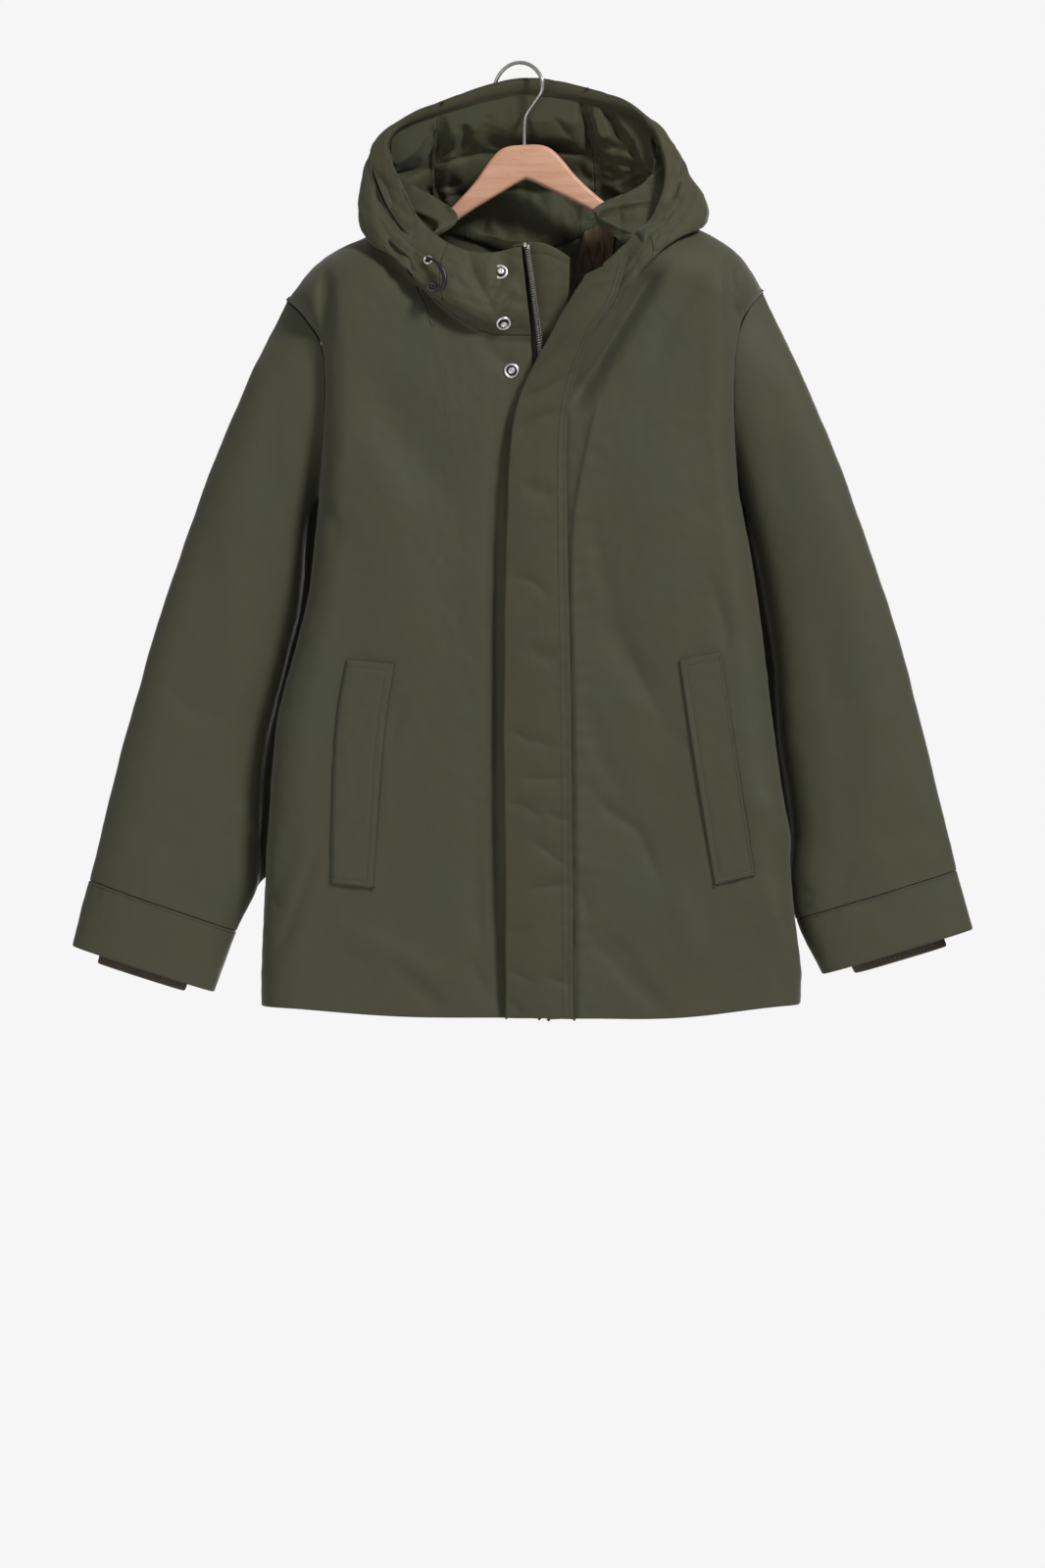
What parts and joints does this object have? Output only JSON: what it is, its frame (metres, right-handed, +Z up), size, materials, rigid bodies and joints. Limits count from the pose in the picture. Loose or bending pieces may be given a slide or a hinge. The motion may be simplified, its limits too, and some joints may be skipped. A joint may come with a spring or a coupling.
{
  "type": "parka on a wooden hanger",
  "caption": "Hooded parka hung on a wooden hanger: offset placket over a zip, fold-over collar with snaps and a cord, welt pockets, rib-knit inner cuffs",
  "frame": {"origin": "inside top of the hanger's steel hook, where a rail or peg carries it", "axes": "+X towards the wearer's left, +Y from the front to the back, +Z up"},
  "size_m": [0.918, 0.1575, 0.9769],
  "materials": {
    "shell": "matte olive cotton blend",
    "lining": "brown satin lining",
    "rib": "dark rib knit",
    "zip_tape": "woven tape",
    "zip_metal": "black nickel",
    "snap_metal": "bright nickel",
    "cord": "black braid",
    "wood": "satin beech",
    "hook": "bright steel wire"
  },
  "bodies": {
    "root": {"front_right": "shell", "front_left": "shell", "back_panel": "shell", "collar_right": "shell", "hood_right": "shell", "hood_centre": "shell", "hood_left": "shell", "collar_left": "shell", "hood_facing": "shell", "hood_lining_right": "shell", "hood_lining_centre": "shell", "hood_lining_left": "shell", "neck_lining": "lining", "sleeve_right_front": "shell", "sleeve_right_back": "shell", "cuff_band_right": "shell", "rib_cuff_right": "rib", "sleeve_left_front": "shell", "sleeve_left_back": "shell", "cuff_band_left": "shell", "rib_cuff_left": "rib", "pocket_welt_right": "shell", "pocket_welt_left": "shell", "placket": "shell", "zip_tape_right": "zip_tape", "zip_tape_left": "zip_tape", "zip_chain": "zip_metal", "zip_guard": "shell", "snap_1": "snap_metal", "snap_2": "snap_metal", "snap_3": "snap_metal", "eyelet_1": "snap_metal", "eyelet_2": "zip_metal", "hood_cord": "cord", "hanger_body": "wood", "hanger_hook": "hook"}
  },
  "joints": []
}
